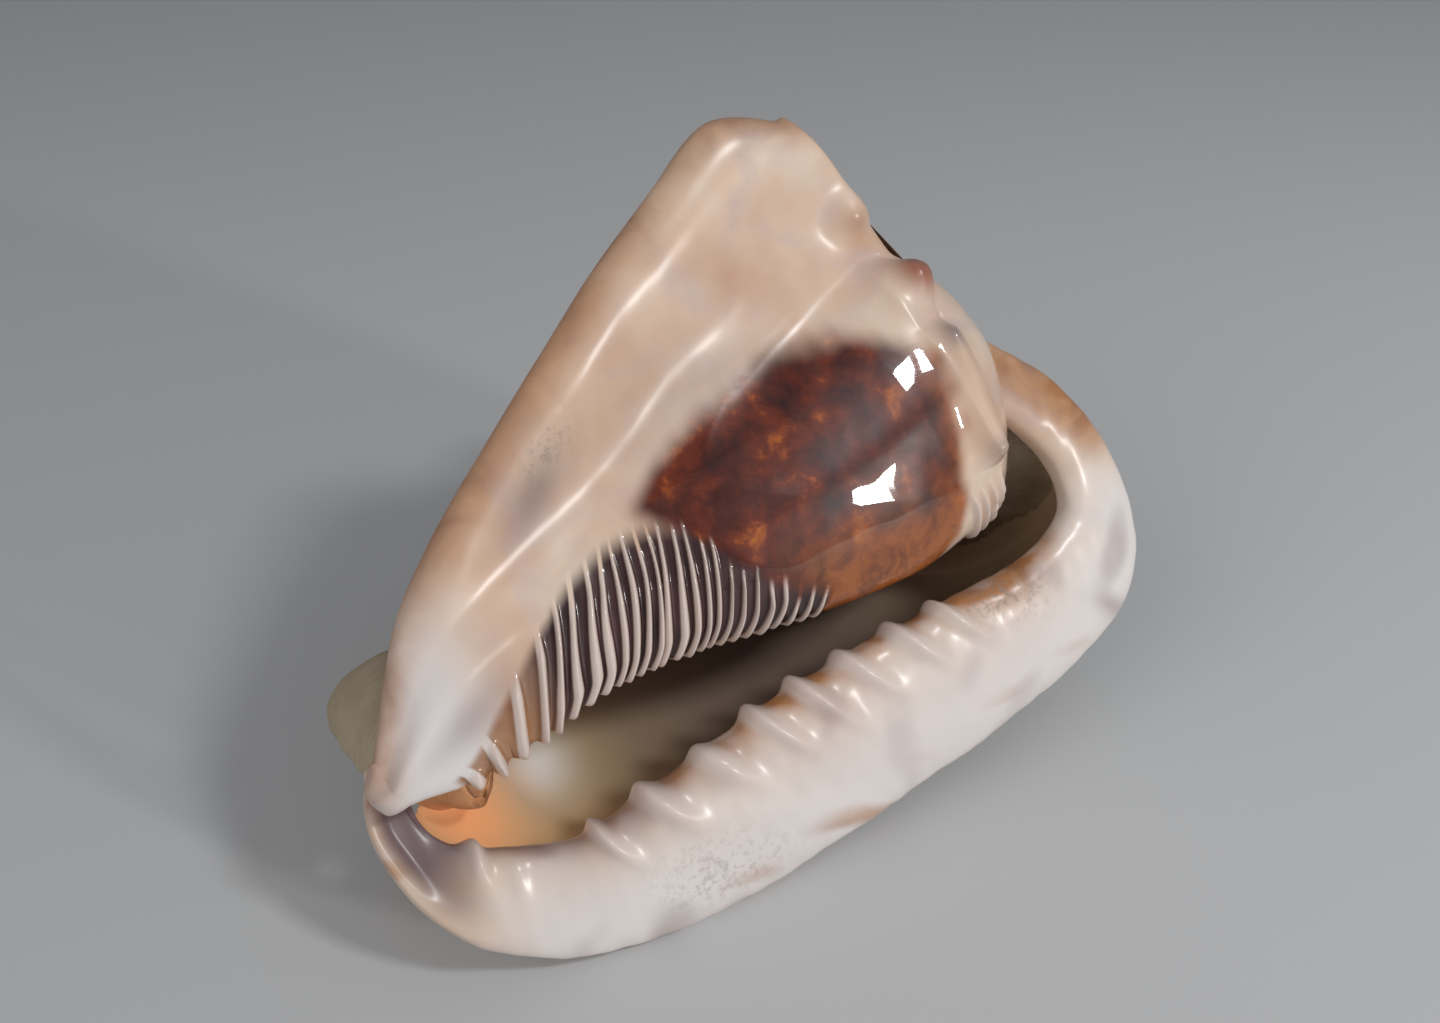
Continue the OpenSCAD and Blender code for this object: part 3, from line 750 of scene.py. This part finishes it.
def full_face():
    """Whole polished face as one grid, from under the rim over the bulge into the aperture."""
    t = row_t[:, None]
    width = shield_width(t)
    full = rim_growth(t)
    half, thick = RIM_HALF * full, RIM_THICK * full
    d_roll = half * (1 - np.cos(roll))
    v_roll = d_roll / width
    v_start = half / width
    v_plate = mix(v_start, BORDER, plate_cols)
    v_glaze = mix(BORDER, 1.0, 1 - (1 - glaze_cols) ** 1.6) + 0 * t
    v_over = 1 + OVER_SHARE * over_cols + 0 * t
    v = np.concatenate([v_roll, v_plate, v_glaze, v_over], 1)
    tt = t + 0 * v
    p = face_place(tt, v)
    d = np.clip(v * width, 0, None)
    lift = 0.65 * thick * (1 - ease((d - half) / (2.1 * half)))
    drop = np.zeros_like(v)
    drop[:, :len(roll)] = np.where(roll < 0, thick + 1.05 * thick * -np.sin(roll),
                                   thick * (1 - np.sin(roll)))
    p[..., 2] += lift - drop
    to_middle = lift - drop + 0.5 * plate_depth(tt, d)
    zone = on_whorl(v)
    bend = BACK_TURN * row_back[:, None]
    p[..., 0] += mix(BACK_REACH, 12.0, zone) * np.sin(bend)
    p[..., 2] -= 12.0 * zone * (1 - np.cos(bend))
    p[..., 2] -= (1 - zone) * (1 - np.cos(END_TURN * row_back[:, None])) * to_middle
    reach = front_reach(v) * (1 - 0.9 * ease((v - 0.97) / 0.1))
    bend = FRONT_TURN * row_front[:, None]
    p[..., 0] -= reach * np.sin(bend)
    zone = by_aperture(v)
    p[..., 2] -= zone * reach * (1 - np.cos(bend))
    p[..., 2] -= (1 - zone) * (1 - np.cos(END_TURN * row_front[:, None])) * to_middle
    return tt, v, p


face_t, face_v, face_base = full_face()
face_out = grid_normals(face_base)
face_out *= np.sign(face_out[MAIN_ROWS // 2, len(roll) + 40, 2])

# Three blunt knobs of the turn below lift the glaze along the back edge: two round ones near
# the free corner and a long one where the bulge ends.
knob_lift = np.zeros_like(face_t)
for place, reach, height in (((158, 54, 33), 6.5, 4.5), ((163, 31, 36), 7.5, 8.0)):
    off = np.linalg.norm(face_base - np.array(place), axis=-1) / reach
    knob_lift = np.maximum(knob_lift, height * np.exp(-off * off))
round_lift = knob_lift.copy()
ridge_from, ridge_to = np.array([160.0, 15, 43]), np.array([157.0, -14, 43])
run = ridge_to - ridge_from
along = np.clip((face_base - ridge_from) @ run / (run @ run), 0, 1)
off = np.linalg.norm(face_base - ridge_from - along[..., None] * run, axis=-1) / 4.0
knob_lift = np.maximum(knob_lift, 5.5 * np.exp(-off ** 1.6) * (0.8 + 0.35 * along))

# Columellar folds: two dozen narrow white ribs across the aperture edge, uneven and a little
# wavy, with dark grooves between them. Four short ones stand alone at the back end.
FOLD_COUNT = 25
FOLD_PLACES = [0.118, 0.172, 0.228, 0.268, 0.305, 0.34, 0.37, 0.397, 0.715]
FOLD_NUMBERS = [0, 1, 2, 3, 4, 5, 6, 7, FOLD_COUNT - 1]
FOLD_TOPS_AT = [0.08, 0.13, 0.2, 0.3, 0.39, 0.46, 0.53, 0.585, 0.615, 0.65, 0.69, 0.75, 0.8]
FOLD_TOPS = [0.9, 0.82, 0.72, 0.62, 0.55, 0.54, 0.57, 0.63, 0.72, 0.82, 0.87, 0.93, 1.0]
fold_rng = np.random.default_rng(8)
fold_high = fold_rng.uniform(0.75, 1.15, FOLD_COUNT + 2)
fold_shift = fold_rng.uniform(-0.16, 0.16, FOLD_COUNT + 2)
fold_sway = fold_rng.uniform(-0.14, 0.14, FOLD_COUNT + 2)
fold_phase = fold_rng.uniform(0, 6.3, FOLD_COUNT + 2)
fold_broad = fold_rng.uniform(0.75, 1.2, FOLD_COUNT + 2)

slope = np.interp(face_t, [0.1, 0.17, 0.22, 0.26, 0.32], [-0.115, -0.04, 0.03, 0.09, 0.15])
lean = face_t - slope * np.clip(1 - face_v, 0, 0.5)
count = np.interp(lean, FOLD_PLACES, FOLD_NUMBERS) + np.minimum(lean - FOLD_PLACES[0], 0) / 0.05
count += np.maximum(lean - FOLD_PLACES[-1], 0) / 0.02
hook = 0.7 * ease((face_v - 0.93) / 0.12) * ease((face_t - 0.25) / 0.1)
count += hook + 0.12 * np.sin(11 * face_v + 0.9 * count) * ease(count / 4)
nearest = np.clip(np.rint(count), 0, FOLD_COUNT - 1).astype(int)
sway = fold_sway[nearest] * np.sin(9 * face_v + fold_phase[nearest])
count_off = count - nearest - fold_shift[nearest] * ease(nearest / 5.0) - sway
zone_start = np.interp(face_t, FOLD_TOPS_AT, FOLD_TOPS)
fold_start = zone_start + 0.02 + 0.05 * np.sin(fold_phase[nearest])
fold_width = mix(0.25, 0.29, ease((face_t - 0.12) / 0.2)) * fold_broad[nearest]
fold_width *= mix(0.5, 1.1, ease((face_v - fold_start) / 0.4 + 0.55 * ease((0.22 - face_t) / 0.05)))
fold_line = np.exp(-np.abs(count_off / fold_width) ** 2.2)
over = np.clip((face_v - 1) / OVER_SHARE, 0, 1)
fold_zone = (ease((face_v - zone_start) / 0.08) * (1 - ease((over - 0.3) / 0.35))
             * ease((count + 0.6) / 0.5) * ease((FOLD_COUNT - 0.3 - count) / 0.5))
fold = fold_line * fold_zone * fold_high[nearest] * ease((face_v - fold_start) / 0.09)
fold_height = mix(2.6, 1.5, ease(face_t / 0.45)) * mix(0.75, 1.3, ease((face_v - 0.6) / 0.4))
back_folds = np.zeros_like(face_t)
for place in (146.5, 150.0, 153.6, 157.4):
    back_folds += np.exp(-((face_base[..., 0] - place) / 1.0) ** 2)
back_folds *= ease((face_v - 0.88) / 0.06) * (1 - ease((over - 0.25) / 0.35)) * (face_t > 0.9)

face_relief = knob_lift + fold_height * fold - 0.5 * fold_zone + 2.0 * back_folds
face_relief *= 1 - 0.9 * ease(np.maximum(row_back, row_front)[:, None] / 0.6)
face_relief += 0.18 * ripple(face_base, 30, 31) + 0.02 * ripple(face_base, 8, 32)
face_top = face_base + face_out * face_relief[..., None]
face_normals = grid_normals(face_top)
face_normals *= np.sign(face_normals[MAIN_ROWS // 2, len(roll) + 40, 2])

# Colour shares of the polished face: the brown patch on the bulge, the dark grooves, the white
# ribs, the tan outer edge, a grey worn spot, reddish knob tips and the pale front tongue, and painted shade
# where it turns down into the aperture.
def spot(t, v, at_t, at_v, reach_t, reach_v):
    """Soft round spot, 1 at its middle, on a face with the coordinates t and v."""
    return np.exp(-((t - at_t) / reach_t) ** 2 - ((v - at_v) / reach_v) ** 2)


patch_left = np.interp(face_t, [0.5, 0.58, 0.68, 0.78, 0.86, 0.9, 0.95],
                       [0.56, 0.49, 0.445, 0.432, 0.468, 0.53, 0.61])
patch_front = np.interp(face_v, [0.5, 0.55, 0.75, 0.85, 1.0, 1.2],
                        [0.51, 0.52, 0.585, 0.62, 0.635, 0.65])
blur = 0.007 * ripple(face_base, 21, 41) + 0.004 * ripple(face_base, 6, 42)
brown = (ease((face_v - patch_left + blur + 0.035) / 0.08)
         * ease((face_t - patch_front + blur + 0.03) / 0.06)
         * ease((0.955 - 0.06 * ease((face_v - 0.9) / 0.2) - face_t + blur) / 0.035))
brown *= 1 - ease((over - 0.25) / 0.4)
dark = fold_zone * (1 - ease((fold_line - 0.35) / 0.3))
dark *= mix(0.25, 1.0, ease((face_t - 0.24) / 0.1))
hollow_tan = fold_zone * (1 - ease((fold_line - 0.3) / 0.4)) * ease((0.34 - face_t) / 0.1)
from_edge = face_v * shield_width(face_t)
under = np.zeros_like(face_t)
under[:, :len(roll)] = ease(-roll / 0.9 + 0.35)
tan = under + 0.75 * np.exp(-(from_edge / 8.5) ** 2) * (under < 1) + 1.1 * hollow_tan
tan = np.clip(tan, 0, 1.3)
tip_red = 0.85 * ease((round_lift - 2.0) / 5.5)
worn = 0.6 * spot(face_t, face_v, 0.44, 0.2, 0.05, 0.08)
mauve = 0.7 * spot(face_t, face_v, 0.41, 0.27, 0.06, 0.1)
mauve = np.maximum(mauve, 0.5 * spot(face_t, face_v, 0.17, 0.66, 0.09, 0.12))
mauve = np.maximum(mauve, 0.3 * spot(face_t, face_v, 0.68, 0.38, 0.14, 0.09))
for end, size in ((ridge_from, 3.4), (ridge_to, 3.0)):
    off = np.linalg.norm(face_base - end, axis=-1) / size
    mauve = np.maximum(mauve, 0.85 * np.exp(-off ** 2))
pale = ease((0.30 - face_t) / 0.2)
amber = ease((face_v - 0.77) / 0.17) * ease((face_t - 0.66) / 0.07)
amber = np.maximum(amber, 0.85 * ease((face_t + 0.06 * ease((face_v - 0.9) / 0.2) - 0.9) / 0.035))
dark = np.maximum(dark, 0.85 * spot(face_t, face_v, 0.875, 0.85, 0.016, 0.035))
rib = ease((fold_line - 0.35) / 0.3) * fold_zone * ease((face_v - fold_start) / 0.05)
# deep is painted shade where the face turns down into the aperture.
face_values = {"brown": brown, "dark": dark, "rib": np.maximum(rib, back_folds), "tan": tan,
               "worn": worn, "red": tip_red, "pale": pale, "deep": ease(1.6 * over - 0.2),
               "mauve": mauve, "amber": amber}

first_glaze = len(roll) + len(plate_cols) - 1
plate_top = face_top[:, :first_glaze + 1]
under_cols = np.linspace(1, 0, 32)
t = row_t[:, None]
width = shield_width(t)
half = RIM_HALF * rim_growth(t)
under_v = mix(half / width, BORDER, under_cols)
under_face = face_place(t + 0 * under_v, under_v)
under_depth = plate_depth(t, under_v * width)
zone = on_whorl(under_v)
bend = BACK_TURN * row_back[:, None]
under_face[..., 0] += mix(BACK_REACH, 8.0, zone) * np.sin(bend)
under_face[..., 2] -= 10.0 * zone * (1 - np.cos(bend)) + under_depth
half_way = (1 - zone) * (1 - np.cos(END_TURN * row_back[:, None]))
zone = by_aperture(under_v)
bend = FRONT_TURN * row_front[:, None]
reach = front_reach(under_v)
under_face[..., 0] -= reach * np.sin(bend)
under_face[..., 2] -= zone * reach * (1 - np.cos(bend))
half_way += (1 - zone) * (1 - np.cos(END_TURN * row_front[:, None]))
under_face[..., 2] += 0.5 * half_way * under_depth
shield_rings = np.concatenate([plate_top, under_face], 1)
shield_normals = np.concatenate([face_normals[:, :first_glaze + 1], grid_normals(under_face)], 1)
shield_values = {}
for key, value in face_values.items():
    edge_value = 0.75 if key == "tan" else 0.0
    filler = np.full(under_face.shape[:2], edge_value)
    shield_values[key] = np.concatenate([value[:, :first_glaze + 1], filler], 1)
shield = tube_piece("parietal_shield_plate", shield_rings, shield_values, shield_normals)
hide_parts("parietal_shield", "shield_rim", "glazed_knobs")
shield.data.materials.append(cream_glaze)

# --------------------------------------------------
# Parietal callus: the bulge of the body whorl under clear glaze, deep red-brown with amber
# flecks. It is one skin with the shield and the columellar callus in front of it.
split_row = END_ROWS - 1 + int(np.searchsorted(main_t, 0.56))


def glaze_piece(name, rows):
    cols = slice(first_glaze, None)
    top, normals = face_top[rows, cols], face_normals[rows, cols]
    depth = (GLAZE - 0.8 * np.clip(face_relief[rows, cols] - knob_lift[rows, cols], 0, 1))[..., None]
    back = face_base[rows, cols] - face_out[rows, cols] * depth
    values = {k: v[rows, cols] for k, v in face_values.items()}
    return sheet_piece(name, top, back, normals, values)


bulge = glaze_piece("parietal_callus_bulge", slice(split_row, None))
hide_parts("parietal_callus", "posterior_folds")
bulge.data.materials.append(glaze_material("amber_brown_glaze", 0.9, 0.03))

# --------------------------------------------------
# Columellar callus: the front half of the same skin, from the pale front tongue to the ribbed
# edge that turns down into the aperture.
ribbed = glaze_piece("columellar_callus_ribs", slice(None, split_row + 1))
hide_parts("columellar_callus", "columellar_folds")
ribbed.data.materials.append(glaze_material("ribbed_glaze", 0.5, 0.06))

# --------------------------------------------------
# Outer lip: the thick rolled edge of the shell, cream glaze over layers of shell, with eight
# teeth that run out from its inner edge, two low ridges before them and a hollow at the
# front, painted mauve and dark as shade. The shell lies on its outer side.
TOOTH_COUNT = 8
TOOTH_HEIGHT = 2.7

T, S = np.meshgrid(np.linspace(0, 1, 560), np.linspace(0, 360, 141)[:-1], indexing="ij")
lip_base = lip_surface(T, S)
lip_out = grid_normals(lip_base, True)
lip_out *= np.sign(lip_out[280, 35, 2])
tooth = np.zeros_like(T)
for i in range(TOOTH_COUNT):
    at = mix(0.333, 0.573, i / (TOOTH_COUNT - 1)) + fold_shift[i] * 0.02
    slant = 0.0035 * (180 - S) / 60
    line = np.exp(-((T - at - slant) / 0.0064) ** 2)
    tooth = np.maximum(tooth, line * ease((S - 92) / 60) * ease((226 - S) / 24) * fold_high[i])
lip_widening = 3.0 * np.exp(-((S - 222) / 38) ** 2) * ease((0.12 - T) / 0.1)
low = np.exp(-((T - 0.165 - 0.02 * (200 - S) / 100) / 0.013) ** 2)
low *= ease((S - 70) / 60) * ease((225 - S) / 30)
low += 0.5 * np.exp(-((T - 0.225) / 0.012) ** 2) * ease((S - 60) / 60) * ease((165 - S) / 40)
lip_relief = TOOTH_HEIGHT * tooth + 1.5 * low + 0.35 * ripple(lip_base, 22, 51)
lip_relief += 0.1 * ripple(lip_base, 7, 52)
# The front hollow is also painted as shade: the mauve and dark shares below darken it.
front_hollow = ease((0.21 - T) / 0.1) * ease((S - 25) / 60) * ease((262 - S) / 80)
lip_relief -= 3.6 * front_hollow * ease(T / 0.05) * (1 - 0.6 * low)
lip_rings = lip_base + lip_out * (lip_relief + lip_widening)[..., None]
gaps = (1 - 0.75 * ease(2.2 * tooth)) * np.exp(-((S - 178) / 34) ** 2)
gaps *= ease((T - 0.27) / 0.05) * ease((0.74 - T) / 0.08) * (0.75 + 0.35 * ripple(lip_base, 9, 64))
stained = spot(T, S, 0.615, 145, 0.03, 30)
outer_side = np.exp(-((S - 2) / 24.0) ** 2) + np.exp(-((S - 362) / 24.0) ** 2)
# Painted shade: the mauve in the front hollow and in the band along the inner edge; the ripple blotches and
# the thin line near T 0.655 are the lip's own mauve.
lip_mauve = (1.1 * front_hollow * (1 - low)
             + 0.5 * np.exp(-((S - 168) / 30) ** 2) * ease((0.45 - T) / 0.1) * (1 - tooth))
lip_mauve += 0.42 * ease(ripple(lip_base, 15, 61) - 0.3) * ease((T - 0.2) / 0.1)
lip_mauve += 0.5 * np.exp(-((T - 0.655) / 0.010) ** 2) * ease((100 - S) / 40)
# Painted shade: front_tan browns the inner edge just behind the front hollow.
front_tan = np.exp(-((S - 175) / 25) ** 2) * ease((0.3 - T) / 0.05) * ease((T - 0.17) / 0.03)
lip_tan = (1.3 * gaps + 0.8 * front_tan
           + 0.35 * outer_side * ease(ripple(lip_base, 20, 62) + 0.3))
lip_tan += 0.9 * ease(ripple(lip_base, 13, 63) - 0.35) * ease((80 - S) / 40)
lip_tan += 0.6 * stained
lip_tan += 0.9 * ease((T - 0.8) / 0.06) * ease((130 - S) / 60)
lip_pale = 0.85 * ease((T - 0.16) / 0.1) * ease((0.86 - T) / 0.1)
lip_pale *= 0.55 + 0.45 * ease((130 - S) / 60)
lip_worn = 1.1 * stained + 0.5 * spot(T, S, 0.36, 75, 0.03, 25)
# The lip's dark share is painted shade in the front hollow.
lip_values = {"brown": 0 * T, "dark": 0.35 * front_hollow, "rib": np.maximum(0.7 * tooth, 0.8 * low),
              "tan": np.clip(lip_tan, 0, 1.3), "worn": lip_worn, "red": 0 * T,
              "pale": lip_pale, "deep": 0 * T,
              "mauve": np.clip(lip_mauve, 0, 1), "amber": 0 * T}
lip = tube_piece("outer_lip_roll", lip_rings, lip_values)
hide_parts("outer_lip", "lip_teeth")
lip.data.materials.append(cream_glaze)

# --------------------------------------------------
# Floor and light: a plain pale floor that curves up behind the shell, two small bright windows
# from the right, a wide weak glow from the left that reflections don't show, and a pale fill.
floor_rows = [[-4.0, 0.0], [1.2, 0.0], [1.7, 0.06], [2.05, 0.25], [2.25, 0.6], [2.3, 3.0]]
floor_mesh = bpy.data.meshes.new("floor")
floor_mesh.from_pydata([(x, y, z) for y, z in floor_rows for x in (-4.0, 4.0)], [],
                       [(2 * i, 2 * i + 1, 2 * i + 3, 2 * i + 2) for i in range(len(floor_rows) - 1)])
floor_mesh.shade_smooth()
floor = bpy.data.objects.new("floor", floor_mesh)
bpy.context.scene.collection.objects.link(floor)
floor_paint = bpy.data.materials.new("pale_floor")
floor_paint.use_nodes = True
floor_surface = floor_paint.node_tree.nodes["Principled BSDF"]
floor_surface.inputs["Base Color"].default_value = (0.62, 0.62, 0.62, 1)
floor_surface.inputs["Roughness"].default_value = 0.7
floor_mesh.materials.append(floor_paint)

heart = Vector((0.0, 0.0, 0.08))


def add_window(name, place, width, height, power, color):
    lamp = bpy.data.lights.new(name, "AREA")
    lamp.shape = "RECTANGLE"
    lamp.size, lamp.size_y = width, height
    lamp.energy = power
    lamp.color = color
    holder = bpy.data.objects.new(name, lamp)
    holder.location = place
    holder.rotation_euler = (heart - Vector(place)).to_track_quat("-Z", "Y").to_euler()
    bpy.context.scene.collection.objects.link(holder)
    return holder


add_window("tall_window", (1.05, -0.80, 0.36), 0.09, 0.20, 5, (1.0, 0.98, 0.95))
add_window("high_window", (0.75, -0.45, 1.0), 0.14, 0.18, 4.5, (0.95, 0.98, 1.0))
glow_side = add_window("left_glow", (-1.1, -0.9, 1.1), 1.2, 1.2, 6.0, (1.0, 0.96, 0.92))
glow_side.visible_glossy = False
world = bpy.data.worlds.new("soft_fill")
world.use_nodes = True
world.node_tree.nodes["Background"].inputs["Color"].default_value = (0.80, 0.85, 0.92, 1)
world.node_tree.nodes["Background"].inputs["Strength"].default_value = 0.26
bpy.context.scene.world = world
bpy.context.scene.view_settings.view_transform = "Standard"

# Camera: looks down on the open side of the shell from about 36 degrees up.
VIEW_SIDE = unit(np.array([-0.378, 0.25, 0.892]))
VIEW_TARGET = np.array([87.0, 10.5, 32.4])
VIEW_DISTANCE = 296.0
VIEW_ROLL = np.radians(36.0)
across_view = unit(np.array([1.0, 0, 0]) - VIEW_SIDE[0] * VIEW_SIDE)
up_start = np.cross(VIEW_SIDE, across_view)
view_up = np.sin(VIEW_ROLL) * across_view + np.cos(VIEW_ROLL) * up_start
view_right = np.cos(VIEW_ROLL) * across_view - np.sin(VIEW_ROLL) * up_start
camera_data = bpy.data.cameras.new("camera")
camera_data.lens = 30.75
camera_data.sensor_width = 36.0
camera = bpy.data.objects.new("camera", camera_data)
spot = (lie @ (VIEW_TARGET + VIEW_DISTANCE * VIEW_SIDE) + shell_origin) / 1000.0
axes = np.stack([lie @ view_right, lie @ view_up, lie @ VIEW_SIDE], 1)
camera.matrix_world = Matrix.Translation(Vector(spot)) @ Matrix(axes.tolist()).to_4x4()
bpy.context.scene.collection.objects.link(camera)
bpy.context.scene.camera = camera
